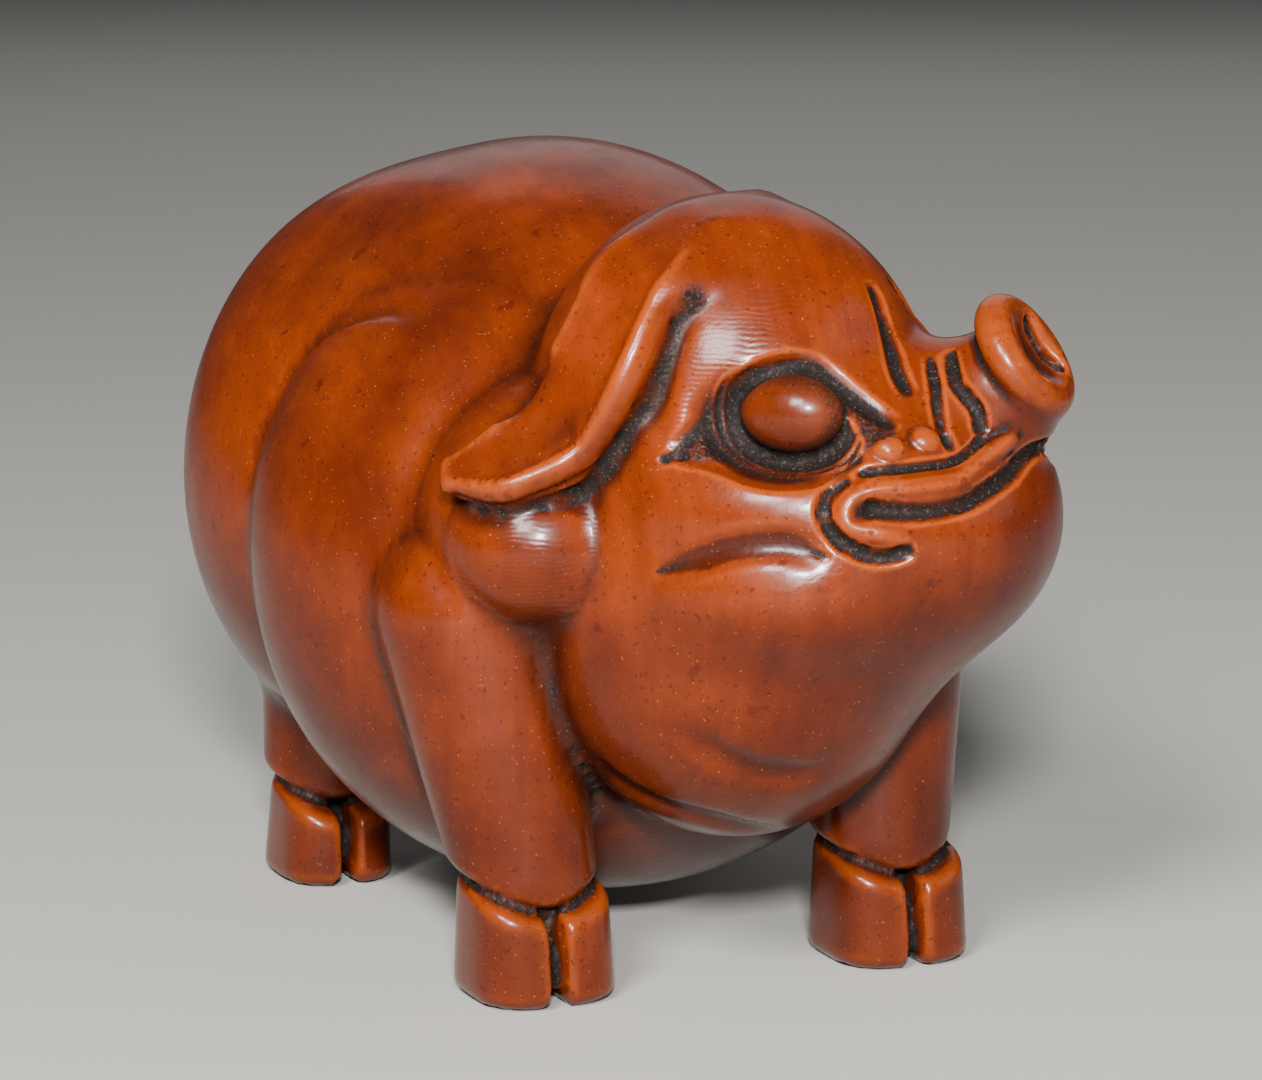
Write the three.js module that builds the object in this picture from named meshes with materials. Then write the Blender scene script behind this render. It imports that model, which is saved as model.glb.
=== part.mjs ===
// A small boxwood pig, carved in one piece: round body, raised head turned to its left, short
// cloven feet. It stands on its four soles and faces -Y, with its left side towards +X.
import * as THREE from 'three';
import { MarchingCubes } from 'three/addons/objects/MarchingCubes.js';

// Driving dimensions, in millimetres and degrees
const FIGURE_HEIGHT = 51;
const HEAD_TURN = 44;
const FOOT_SPREAD = 24.6;
const FORE_LEG_THICKNESS = 9.2;
const FORE_HOOF_WIDTH = 9.4;
const FORE_HOOF_LENGTH = 9;
const FORE_HOOF_HEIGHT = 7.4;
const HIND_LEG_THICKNESS = 7.8;
const HIND_HOOF_WIDTH = 7.8;
const HIND_HOOF_LENGTH = 9;
const HIND_HOOF_HEIGHT = 6.2;
const CLEFT_WIDTH = 2;
const CLEFT_DEPTH = 1.7;
const CROWN_GAP = 0.8;
const CROWN_DEPTH = 1;
const EAR_WIDTH = 7.2;
const EAR_THICKNESS = 2.6;
const EAR_RIM = 0.3;
const EAR_UNDERCUT_WIDTH = 2.6;
const EAR_UNDERCUT_DEPTH = 1.4;
const EYE_LENGTH = 6.4;
const EYE_HEIGHT = 4.7;
const LID_WIDTH = 2;
const LID_DEPTH = 0.7;
const DISC_WIDTH = 8.5;
const DISC_RIM = 2.3;
const DISC_TILT = 34;
const NOSTRIL_WIDTH = 1.2;
const NOSTRIL_LENGTH = 3.2;
const MOUTH_WIDTH = 1.5;
const MOUTH_DEPTH = 1.3;
const LIP_WIDTH = 1.8;
const LIP_HEIGHT = 0.6;
const FOLD_WIDTH = 2.4;
const FOLD_DEPTH = 0.8;
const WRINKLE_WIDTH = 1.5;
const WRINKLE_DEPTH = 0.65;
const TAIL_THICKNESS = 2.8;

// How finely the form is cut: the cutting grid's step, and the facets of the finished solid
const GRID_STEP = FIGURE_HEIGHT / 74;
const GRID_CELLS = 116;
const FACET_COUNT = 9300;

// The form is drawn in shares of the height: one share is a fifty-first of it
const SHARE = FIGURE_HEIGHT / 51;
const scaled = (point) => point.map((value) => value * SHARE);
const radians = THREE.MathUtils.degToRad;
const { abs, cos, hypot, max, min, sin, sqrt } = Math;

const clamp = (value, low = 0, high = 1) => min(high, max(low, value));

function ramp(low, high, value) {
  const t = clamp((value - low) / (high - low));
  return t * t * (3 - 2 * t);
}

// Joins two forms with a fillet of about the given size
function join(a, b, fillet) {
  const overlap = max(fillet - abs(a - b), 0) / fillet;
  return min(a, b) - overlap * overlap * fillet / 4;
}

// Keeps what two forms share, with a rounded edge
const keep = (a, b, round) => -join(-a, -b, round);

// An egg-shaped mass: its middle and three half-widths, in shares
function egg(middle, halves) {
  const [cx, cy, cz] = scaled(middle);
  const [a, b, c] = scaled(halves);
  return (x, y, z) => {
    const u = (x - cx) / a;
    const v = (y - cy) / b;
    const w = (z - cz) / c;
    const reach = hypot(u, v, w);
    const steep = hypot(u / a, v / b, w / c);
    return steep < 1e-9 ? -min(a, b, c) : reach * (reach - 1) / steep;
  };
}

// A limb that tapers from one point to another, in shares, with its two radii in millimetres
function limb(start, end, startRadius, endRadius) {
  const [ax, ay, az] = scaled(start);
  const [bx, by, bz] = scaled(end).map((value, axis) => value - [ax, ay, az][axis]);
  const length2 = bx * bx + by * by + bz * bz;
  return (x, y, z) => {
    const px = x - ax;
    const py = y - ay;
    const pz = z - az;
    const t = clamp((px * bx + py * by + pz * bz) / length2);
    return hypot(px - t * bx, py - t * by, pz - t * bz) - startRadius - (endRadius - startRadius) * t;
  };
}

// Values at even steps along a line, joined smoothly
function along(values) {
  return (t) => {
    const place = t * (values.length - 1);
    const i = min(values.length - 2, Math.floor(place));
    return values[i] + (values[i + 1] - values[i]) * ramp(0, 1, place - i);
  };
}

const cross = (a, b) => [a[1] * b[2] - a[2] * b[1], a[2] * b[0] - a[0] * b[2], a[0] * b[1] - a[1] * b[0]];
const unit = (a) => a.map((value) => value / (hypot(...a) || 1));

// A smooth line through a few points; each point may carry more numbers than its place
function through(points, steps) {
  const last = points.length - 1;
  const line = [];
  for (let i = 0; i < last; i += 1) {
    const [a, b, c, d] = [points[max(0, i - 1)], points[i], points[i + 1], points[min(last, i + 2)]];
    for (let k = 0; k < steps; k += 1) {
      const t = k / steps;
      line.push(a.map((_, n) => 0.5 * (2 * b[n] + (c[n] - a[n]) * t
        + (2 * a[n] - 5 * b[n] + 4 * c[n] - d[n]) * t * t
        + (3 * b[n] - a[n] - 3 * c[n] + d[n]) * t * t * t)));
    }
  }
  line.push(points[last]);
  return line;
}

// The direction straight out of a form at a point, felt over the given distance
function outward(form, point, feel) {
  const slope = [0, 1, 2].map((axis) => {
    const ahead = [...point];
    const behind = [...point];
    ahead[axis] += feel;
    behind[axis] -= feel;
    return form(...ahead) - form(...behind);
  });
  const length = hypot(...slope) || 1;
  return slope.map((value) => value / length);
}

// Moves a point onto a form's surface, or to a given lift above it
function settle(form, point, lift = 0) {
  let place = [...point];
  for (let pass = 0; pass < 8; pass += 1) {
    const gap = form(...place) - lift;
    const out = outward(form, place, 0.05);
    place = place.map((value, axis) => value - out[axis] * gap * 0.9);
  }
  return place;
}

// A chisel cut along a line on a form's surface, or with a depth below zero a raised bead;
// the width is its whole width, and it runs out over a share of its length at both ends
function stroke(form, points, width, depth, runOut) {
  const line = through(points.map((point) => settle(form, scaled(point))), 3);
  const half = width / 2;
  const low = [0, 1, 2].map((axis) => min(...line.map((point) => point[axis])) - half);
  const high = [0, 1, 2].map((axis) => max(...line.map((point) => point[axis])) + half);
  const spans = line.length - 1;
  return (d, x, y, z) => {
    if (abs(d) > half + abs(depth) + 1.5) return d;
    if (x < low[0] || x > high[0] || y < low[1] || y > high[1] || z < low[2] || z > high[2]) return d;
    let nearest = half * half;
    let place = -1;
    for (let i = 0; i < spans; i += 1) {
      const [ax, ay, az] = line[i];
      const bx = line[i + 1][0] - ax;
      const by = line[i + 1][1] - ay;
      const bz = line[i + 1][2] - az;
      const t = clamp(((x - ax) * bx + (y - ay) * by + (z - az) * bz) / (bx * bx + by * by + bz * bz));
      const away = (x - ax - t * bx) ** 2 + (y - ay - t * by) ** 2 + (z - az - t * bz) ** 2;
      if (away < nearest) {
        nearest = away;
        place = (i + t) / spans;
      }
    }
    if (place < 0) return d;
    const ends = min(ramp(0, runOut, place), ramp(0, runOut, 1 - place));
    return d + depth * ends * ramp(0, 1, 1 - sqrt(nearest) / half);
  };
}

// Body: the long back, the full belly that swells over the flanks, and a haunch on each side
const back = egg([0, 9.5, 28.9], [20.6, 27, 22]);
const belly = egg([0, 0, 24.2], [23.6, 19.5, 21.8]);
const haunch = egg([9.5, 15.9, 25.6], [12.6, 14.4, 15.2]);
const hip = egg([8, 18, 30.5], [12.5, 13.5, 16]);
const flank = egg([8.4, 0.3, 28.6], [14.3, 14.6, 15.2]);
const neckRoll = egg([8, -14.2, 29.6], [10, 7.6, 9.6]);
const shoulderRoll = egg([11.6, -18.2, 29.2], [6.2, 5.4, 5]);

function body(x, y, z) {
  const side = abs(x);
  const rump = join(join(back(x, y, z), haunch(side, y, z), 6 * SHARE), hip(side, y, z), 5 * SHARE);
  return join(rump, join(belly(x, y, z), flank(side, y, z), 3 * SHARE), 0.8 * SHARE);
}

// A foot: the leg ends in a crown that dips to the front, and below it a hoof with a cleft
function foot(leg, middle, width, length, height) {
  const [cx, cy] = middle;
  const halfWidth = width / 2;
  const halfLength = length / 2;
  return (x, y, z) => {
    const rise = clamp(z / height, -0.2, 1.3);
    const wide = halfWidth * (1 - 0.06 * rise);
    const long = halfLength * (1.06 - 0.14 * rise);
    const u = abs(x - cx) / wide;
    const v = abs(y - cy + 0.16 * halfLength * rise) / long;
    const across = abs(x - cx);
    const crown = 0.74 * height + 0.3 * across + 0.22 * (y - cy + halfLength);
    let hoof = ((u ** 3 + v ** 3) ** (1 / 3) - 1) * min(wide, long);
    hoof = keep(hoof, -z, 0.13 * width);
    hoof = keep(hoof, (z - crown) * 0.9, CROWN_GAP);
    const limbGap = leg(x, y, z);
    const shank = min(keep(limbGap, (crown + CROWN_GAP - z) * 0.9, CROWN_GAP), limbGap + CROWN_DEPTH);
    const cleft = ramp(0, 1, 1 - across / (CLEFT_WIDTH / 2))
      * ramp(cy + 0.1 * halfLength, cy - 0.5 * halfLength, y)
      * ramp(crown + CROWN_GAP, crown - CROWN_GAP, z);
    return join(shank, hoof, CROWN_GAP / 2) + CLEFT_DEPTH * cleft;
  };
}
const halfSpread = FOOT_SPREAD / 2;
const foreKnee = [13.9, -13, 24];
const foreAnkle = [halfSpread / SHARE, -15.3, 8];
const foreLeg = limb(foreKnee, foreAnkle, 0.66 * FORE_LEG_THICKNESS, FORE_LEG_THICKNESS / 2);
const foreFoot = foot(foreLeg, [halfSpread, -15.9 * SHARE],
  FORE_HOOF_WIDTH, FORE_HOOF_LENGTH, FORE_HOOF_HEIGHT);
const hindKnee = [12.6, 19.4, 15];
const hindAnkle = [halfSpread / SHARE + 1.1, 19.2, 6];
const hindLeg = limb(hindKnee, hindAnkle, 0.59 * HIND_LEG_THICKNESS, HIND_LEG_THICKNESS / 2);
const hindFoot = foot(hindLeg, [halfSpread + 1.1 * SHARE, 18 * SHARE],
  HIND_HOOF_WIDTH, HIND_HOOF_LENGTH, HIND_HOOF_HEIGHT);

// The fore legs lean a little to the pig's right as they rise
const lean = (z) => 0.6 * SHARE - 0.055 * z;

// Head, in its own directions: out to a side, forward along the snout, and up
const headTurn = radians(HEAD_TURN);
const headY = -17 * SHARE;
const toSide = (x, y) => x * cos(headTurn) + (y - headY) * sin(headTurn);
const toFront = (x, y) => x * sin(headTurn) - (y - headY) * cos(headTurn);
const skull = egg([0, 1.3, 35.5], [11.4, 13, 14.6]);
const jaw = egg([0, 9.8, 30.6], [12.4, 12.5, 10.2]);
const throat = egg([0, 1.6, 24.3], [13.2, 12.8, 14.6]);
const cheek = egg([8.6, 6, 32.4], [4.6, 6.2, 3.4]);
const jowl = egg([7.6, 7.5, 27.4], [6.6, 7.4, 4.6]);
const muzzle = limb([0, 11, 34.5], [0, 18.6, 38.6], 6 * SHARE, 0.48 * DISC_WIDTH);

function head(side, front, z) {
  const s = abs(side);
  let d = join(skull(s, front, z), jaw(s, front, z), 3 * SHARE);
  d = join(d, throat(s, front, z), 5 * SHARE);
  d = join(d, muzzle(s, front, z), 2 * SHARE);
  d = join(d, cheek(s, front, z), 2.5 * SHARE);
  return join(d, jowl(s, front, z), 2.2 * SHARE);
}

function masses(x, y, z) {
  const side = abs(x);
  let d = join(body(x, y, z), neckRoll(side, y, z), 1.2 * SHARE);
  d = join(d, hindFoot(side, y, z), 1.5 * SHARE);
  d = join(d, foreFoot(abs(x - lean(z)), y, z), SHARE);
  d = join(d, shoulderRoll(side, y, z), 1.2 * SHARE);
  return join(d, head(toSide(x, y), toFront(x, y), z), SHARE);
}

// Snout: a turned-up disc with a thick rim, hollowed in front, and two slit nostrils
const discAt = scaled([0, 20.3, 41]);
const discTilt = radians(DISC_TILT);
const rimRadius = (DISC_WIDTH - DISC_RIM) / 2;

function snout(d, side, front, z) {
  const depth = (front - discAt[1]) * cos(discTilt) + (z - discAt[2]) * sin(discTilt);
  const height = (z - discAt[2]) * cos(discTilt) - (front - discAt[1]) * sin(discTilt);
  const radius = hypot(side, height);
  const rim = hypot(radius - rimRadius, depth) - DISC_RIM / 2;
  const plate = hypot(max(radius - rimRadius, 0), max(abs(depth - 0.1) - 0.3, 0)) - 0.5;
  const dish = hypot(radius, (depth - 1.02 * DISC_RIM) * 1.5) - rimRadius;
  const rise = clamp((height + NOSTRIL_LENGTH / 2) / NOSTRIL_LENGTH);
  const slit = hypot(abs(side) - 0.6 * rimRadius + 0.4 * rise, height + NOSTRIL_LENGTH * (0.5 - rise));
  const nostril = max(slit - NOSTRIL_WIDTH / 2, -depth - DISC_RIM / 2);
  const disc = join(d, join(rim, plate, 0.5), 0.5);
  return keep(keep(disc, -dish, 0.2), -nostril, 0.2);
}

// Eye: a round ball in an almond hollow
const eyeball = egg([9.5, 8.9, 38.2],
  [1.95, EYE_LENGTH / 2 / SHARE, EYE_HEIGHT / 2 / SHARE]);
const eyeHollow = egg([11.8, 9.3, 38.2],
  [3.4, (EYE_LENGTH / 2 + 3.1) / SHARE, (EYE_HEIGHT / 2 + 1.6) / SHARE]);

// Cuts and beads of the head, each a short line from back to front on both sides of the face
const onHead = (points, width, depth, runOut) => stroke(head, points, width, depth, runOut);
const headCuts = [
  // upper and lower eyelid
  onHead([[12, 2.1, 35.6], [11.2, 4, 37.7], [9.8, 6.5, 40.4], [8.2, 9.4, 41], [7.4, 11.8, 39.1],
    [7.6, 15, 37.2]], LID_WIDTH, LID_DEPTH, 0.12),
  onHead([[12, 2.1, 35.6], [12.4, 5.2, 35.4], [12.6, 8.4, 34.7], [11.4, 11.6, 35], [9.6, 13.6, 36.2]],
    0.8 * LID_WIDTH, 0.6 * LID_DEPTH, 0.12),
  // mouth, the lip that curls round its corner, and the groove round the curl
  onHead([[11.3, 14, 33.1], [9.7, 17, 32.8], [7.4, 19.3, 33.2], [3.9, 20.9, 34.5], [0, 21.8, 35.8]],
    MOUTH_WIDTH, MOUTH_DEPTH, 0.06),
  onHead([[2.6, 20.8, 36.9], [4.8, 19.6, 35.6], [7.4, 18.6, 34.6], [9.4, 16.6, 34.3], [10.8, 14.4, 34.2],
    [11.6, 13.3, 33.2], [11.6, 13.7, 31.9], [10, 17, 31.3]], LIP_WIDTH, -LIP_HEIGHT, 0.1),
  onHead([[10.8, 13.2, 35.1], [11.8, 12, 33.7], [12.2, 12.1, 32.3], [12, 13.2, 31], [11.2, 15.1, 30.2],
    [10, 17.1, 30.7]], 0.8 * LIP_WIDTH, 1.4 * LIP_HEIGHT, 0.12),
  // groove above the lip, and the jowl
  onHead([[4.4, 19.4, 37], [5.4, 19, 36.2], [7.1, 18.2, 35.6], [8.8, 16.5, 35.4], [9.9, 15, 35.3],
    [10.8, 13.2, 35.1]], 0.8 * WRINKLE_WIDTH, 0.8 * WRINKLE_DEPTH, 0.15),
  onHead([[13.2, 1.2, 28.5], [13.7, 4.7, 29.7], [13.7, 7.5, 30.7], [13.1, 10.2, 30.9],
    [12.3, 12.7, 30.1]], 1.3 * FOLD_WIDTH, 0.65 * FOLD_DEPTH, 0.3),
  // the fold behind the disc between two grooves, and the groove beside the bridge
  onHead([[2.1, 16.2, 41.6], [3.8, 17.2, 39.9], [4.2, 18, 39.1], [4.3, 18.8, 38.2], [4.6, 19.2, 36.8]],
    WRINKLE_WIDTH, WRINKLE_DEPTH, 0.15),
  onHead([[2.4, 15, 41.5], [4.5, 16.2, 39.4], [5.5, 16.8, 38], [6.1, 17.3, 37.1], [6.6, 18.2, 35.9]],
    WRINKLE_WIDTH, 0.8 * WRINKLE_DEPTH, 0.2),
  onHead([[1.5, 10.8, 45.4], [1.9, 11.6, 44.2], [3, 12.7, 42], [4.6, 13.9, 40.1], [5.5, 15.1, 38.9]],
    WRINKLE_WIDTH, 0.8 * WRINKLE_DEPTH, 0.25),
  // two rolls of the throat
  onHead([[12.3, 2.8, 19.2], [11, 4.9, 17.3], [9, 7.4, 15.9], [5.7, 10.3, 15.7]],
    1.2 * FOLD_WIDTH, FOLD_DEPTH, 0.3),
  onHead([[8.5, -5.8, 16.7], [8.5, -3.4, 14.7], [8.2, 0, 13], [6.9, 3.3, 12], [1.7, 5.5, 10.5]],
    1.2 * FOLD_WIDTH, FOLD_DEPTH, 0.2),
];

function face(d, side, front, z) {
  const s = abs(side);
  let cut = keep(d, -eyeHollow(s, front, z), 0.8 * SHARE);
  cut = join(cut, eyeball(s, front, z), 0.15);
  cut = snout(cut, side, front, z);
  return headCuts.reduce((form, cutLine) => cutLine(form, s, front, z), cut);
}

// Ears: a flap each, seated on the head and neck, lifting off towards its tip. A point holds
// its place and its lift; the ear hides the turned head's neck on one side, and on the other
// it lies over the shoulder.
const earLines = [
  [[-3.4, -20.6, 48, -1.7], [-7.4, -21.7, 45.3, -0.3], [-10, -22.2, 40.6, 0.5],
    [-11.8, -21, 36.6, 0.8], [-14.8, -20.2, 34.3, 1.3], [-17.5, -18.4, 33.4, 1.8]],
  [[3.2, -14.2, 48, -1.7], [7, -11.4, 46, -0.3], [11.4, -10, 43, 0.5],
    [15.4, -9.8, 39.6, 0.8], [18.6, -10.6, 35.8, 1.3], [20.4, -12, 32.4, 1.8]],
];
const earWidthAt = along([0.6, 1, 1.03, 0.92, 0.8, 0.36]);
const earThicknessAt = along([0.92, 1, 1, 0.92, 0.8, 0.65]);

function ear(points) {
  const places = points.map((point) => {
    const [x, y, z, lift] = scaled(point);
    return settle(masses, [x, y, z], lift);
  });
  const outs = places.map((place) => outward(masses, place, 1.6 * SHARE));
  const seats = places.map((place, i) => {
    const before = outs[max(0, i - 1)];
    const after = outs[min(outs.length - 1, i + 1)];
    return [...place, ...outs[i].map((value, axis) => 2 * value + before[axis] + after[axis])];
  });
  const line = through(seats, 6);
  const last = line.length - 1;
  const frames = line.map((point, i) => {
    const middle = point.slice(0, 3);
    const before = line[max(0, i - 1)];
    const after = line[min(last, i + 1)];
    const tangent = unit([0, 1, 2].map((axis) => after[axis] - before[axis]));
    const across = unit(cross(tangent, point.slice(3)));
    return { middle, tangent, across, up: cross(across, tangent) };
  });
  const far = 3.2 * SHARE;
  const margin = EAR_WIDTH / 2 + far;
  const low = [0, 1, 2].map((axis) => min(...line.map((point) => point[axis])) - margin);
  const high = [0, 1, 2].map((axis) => max(...line.map((point) => point[axis])) + margin);
  return (x, y, z) => {
    const outside = max(low[0] - x, x - high[0], low[1] - y, y - high[1], low[2] - z, z - high[2]);
    if (outside > 0) return max(outside, far);
    let nearest = Infinity;
    let index = 0;
    let part = 0;
    for (let i = 0; i < last; i += 1) {
      const [ax, ay, az] = frames[i].middle;
      const bx = frames[i + 1].middle[0] - ax;
      const by = frames[i + 1].middle[1] - ay;
      const bz = frames[i + 1].middle[2] - az;
      const t = clamp(((x - ax) * bx + (y - ay) * by + (z - az) * bz) / (bx * bx + by * by + bz * bz));
      const away = (x - ax - t * bx) ** 2 + (y - ay - t * by) ** 2 + (z - az - t * bz) ** 2;
      if (away < nearest) {
        nearest = away;
        index = i;
        part = t;
      }
    }
    const a = frames[index];
    const b = frames[index + 1];
    const offset = (name) => [x, y, z].reduce((sum, value, axis) => {
      const middle = a.middle[axis] + (b.middle[axis] - a.middle[axis]) * part;
      return sum + (value - middle) * (a[name][axis] + (b[name][axis] - a[name][axis]) * part);
    }, 0);
    const place = (index + part) / last;
    const across = abs(offset('across'));
    const halfWidth = EAR_WIDTH / 2 * earWidthAt(place);
    const rim = EAR_RIM * ramp(0.5, 0.85, across / halfWidth);
    const halfThickness = EAR_THICKNESS / 2 * earThicknessAt(place) + rim;
    const round = 0.9 * min(halfWidth, halfThickness);
    const wide = across - halfWidth + round;
    const thick = abs(offset('up')) - halfThickness + round;
    return hypot(max(wide, 0), max(thick, 0), offset('tangent')) + min(max(wide, thick), 0) - round;
  };
}
const ears = earLines.map(ear);
const earUndercut = stroke(masses, [[-5.2, -25, 45], [-7, -23.9, 43.6], [-8.2, -24, 41.2],
  [-9.2, -24.3, 38.4], [-10.4, -23.8, 35.6], [-12.4, -22.4, 33.4], [-15, -20.4, 32.4]],
EAR_UNDERCUT_WIDTH, EAR_UNDERCUT_DEPTH, 0.12);

// Fold of the flank, and a short tail that lies curled against the rump
const flankFold = stroke(body, [[21.9, 8.5, 28], [21.3, 7.5, 31.7], [19.8, 6.3, 35.9],
  [17.6, 3.6, 39.6], [15.7, -1.4, 41.3], [14.1, -5.8, 40.8]], 1.2 * FOLD_WIDTH, 1.2 * FOLD_DEPTH, 0.3);
const tail = stroke(body, [[0, 35, 39], [0.8, 36, 34], [4, 36, 30], [8, 35, 29.6],
  [9.8, 33, 32.4], [7.6, 33, 34.6]], TAIL_THICKNESS, -TAIL_THICKNESS / 2, 0.1);

// The whole pig: distance to its surface, below zero inside
function pig(x, y, z) {
  const side = toSide(x, y);
  const front = toFront(x, y);
  let d = masses(x, y, z);
  if (front > -4 * SHARE && z > 10 * SHARE && d < 8 * SHARE) d = face(d, side, front, z);
  d = earUndercut(d, x, y, z);
  d = flankFold(d, abs(x), y, z);
  d = tail(d, x, y, z);
  const earFillet = (0.4 + 2.7 * ramp(42.5, 46, z / SHARE)) * SHARE;
  d = ears.reduce((form, flap) => join(form, flap(x, y, z), earFillet), d);
  return max(d, -z);
}

// Cuts the form out on an even grid; blocks that the surface can't reach are measured once
function cutOut(form) {
  const cubes = new MarchingCubes(GRID_CELLS, new THREE.Material(), false, false, 150000);
  const half = GRID_CELLS / 2;
  const placeFlat = (index) => (index - half) * GRID_STEP;
  const placeUp = (index) => (index - 2.5) * GRID_STEP;
  const block = 4;
  const reach = block * GRID_STEP + 1.5 * SHARE;
  const least = 0.02 * GRID_STEP;
  const measure = (i, j, k) => form(placeFlat(i), placeFlat(j), placeUp(k));
  for (let k = 0; k < GRID_CELLS; k += block) {
    for (let j = 0; j < GRID_CELLS; j += block) {
      for (let i = 0; i < GRID_CELLS; i += block) {
        const rough = measure(i + block / 2, j + block / 2, k + block / 2);
        for (let cell = 0; cell < block ** 3; cell += 1) {
          const x = i + cell % block;
          const y = j + Math.floor(cell / block) % block;
          const z = k + Math.floor(cell / block ** 2);
          const d = abs(rough) < reach ? measure(x, y, z) : rough;
          const clear = d < 0 ? min(d, -least) : max(d, least);
          cubes.field[(z * GRID_CELLS + y) * GRID_CELLS + x] = -clear;
        }
      }
    }
  }
  cubes.isolation = 0;
  cubes.update();
  const raw = cubes.geometry.getAttribute('position').array;
  const known = new Map();
  const points = [];
  const corners = [];
  for (let n = 0; n < cubes.count; n += 1) {
    const grid = [0, 1, 2].map((axis) => (raw[3 * n + axis] + 1) * half);
    const key = grid.reduce((sum, value) => sum * 200000 + Math.round(value * 1000), 0);
    if (!known.has(key)) {
      known.set(key, points.length);
      const z = placeUp(grid[2]);
      points.push([placeFlat(grid[0]), placeFlat(grid[1]), abs(z) < 0.001 ? 0 : z]);
    }
    corners.push(known.get(key));
  }
  const facets = [];
  for (let n = 0; n < corners.length; n += 3) {
    const [a, b, c] = corners.slice(n, n + 3);
    if (a !== b && b !== c && c !== a) facets.push([a, b, c]);
  }
  return { points, facets };
}

// Keeps the outer skin: small pockets closed in under the ears are solid wood
function outerSkin({ points, facets }) {
  const parent = points.map((_, corner) => corner);
  const rootOf = (corner) => {
    let root = corner;
    while (parent[root] !== root) root = parent[root];
    parent[corner] = root;
    return root;
  };
  for (const [a, b, c] of facets) {
    parent[rootOf(a)] = rootOf(b);
    parent[rootOf(b)] = rootOf(c);
  }
  const sizes = new Map();
  for (const [a] of facets) sizes.set(rootOf(a), (sizes.get(rootOf(a)) ?? 0) + 1);
  const [largest] = [...sizes].reduce((most, entry) => (entry[1] > most[1] ? entry : most));
  return { points, facets: facets.filter(([a]) => rootOf(a) === largest) };
}

// Draws each corner that isn't on a sole onto the true surface
function trueUp(points, form) {
  for (const point of points) {
    if (point[2] === 0) continue;
    for (let pass = 0; pass < 2; pass += 1) {
      const gap = clamp(form(...point), -0.3 * GRID_STEP, 0.3 * GRID_STEP);
      const out = outward(form, point, 0.05);
      for (let axis = 0; axis < 3; axis += 1) point[axis] -= 0.8 * gap * out[axis];
    }
    point[2] = max(point[2], 0);
  }
}

// A heap that gives back the entry of least cost
class Heap {
  entries = [];

  push(entry) {
    const { entries } = this;
    let i = entries.length;
    entries.push(entry);
    while (i > 0) {
      const parent = (i - 1) >> 1;
      if (entries[parent].cost <= entry.cost) break;
      entries[i] = entries[parent];
      i = parent;
    }
    entries[i] = entry;
  }

  pop() {
    const { entries } = this;
    const top = entries[0];
    const last = entries.pop();
    if (entries.length === 0) return top;
    let i = 0;
    for (;;) {
      let child = 2 * i + 1;
      if (child >= entries.length) break;
      if (child + 1 < entries.length && entries[child + 1].cost < entries[child].cost) child += 1;
      if (entries[child].cost >= last.cost) break;
      entries[i] = entries[child];
      i = child;
    }
    entries[i] = last;
    return top;
  }
}

const subtract = (a, b) => [a[0] - b[0], a[1] - b[1], a[2] - b[2]];
const dot = (a, b) => a[0] * b[0] + a[1] * b[1] + a[2] * b[2];

// Sum of squared distances to planes, as the ten numbers of a symmetric form
function planeForm(normal, offset, weight) {
  const [a, b, c] = normal;
  return [a * a, a * b, a * c, a * offset, b * b, b * c, b * offset, c * c, c * offset, offset * offset]
    .map((value) => value * weight);
}

function misfit(q, [x, y, z]) {
  return q[0] * x * x + 2 * q[1] * x * y + 2 * q[2] * x * z + 2 * q[3] * x + q[4] * y * y
    + 2 * q[5] * y * z + 2 * q[6] * y + q[7] * z * z + 2 * q[8] * z + q[9];
}

// The place where two corners meet with the least misfit
function meetingPlace(q, a, b) {
  const middle = a.map((value, axis) => (value + b[axis]) / 2);
  const best = [a, b, middle].reduce((low, place) => (misfit(q, place) < misfit(q, low) ? place : low));
  const minor = [q[4] * q[7] - q[5] * q[5], q[2] * q[5] - q[1] * q[7], q[1] * q[5] - q[2] * q[4]];
  const whole = q[0] * minor[0] + q[1] * minor[1] + q[2] * minor[2];
  if (abs(whole) < 1e-7) return best;
  const right = [-q[3], -q[6], -q[8]];
  const rows = [
    minor,
    [minor[1], q[0] * q[7] - q[2] * q[2], q[1] * q[2] - q[0] * q[5]],
    [minor[2], q[1] * q[2] - q[0] * q[5], q[0] * q[4] - q[1] * q[1]],
  ];
  const place = rows.map((row) => dot(row, right) / whole);
  const span = hypot(...subtract(a, b));
  return hypot(...subtract(place, middle)) < span && place[2] > 0 ? place : best;
}

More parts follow.
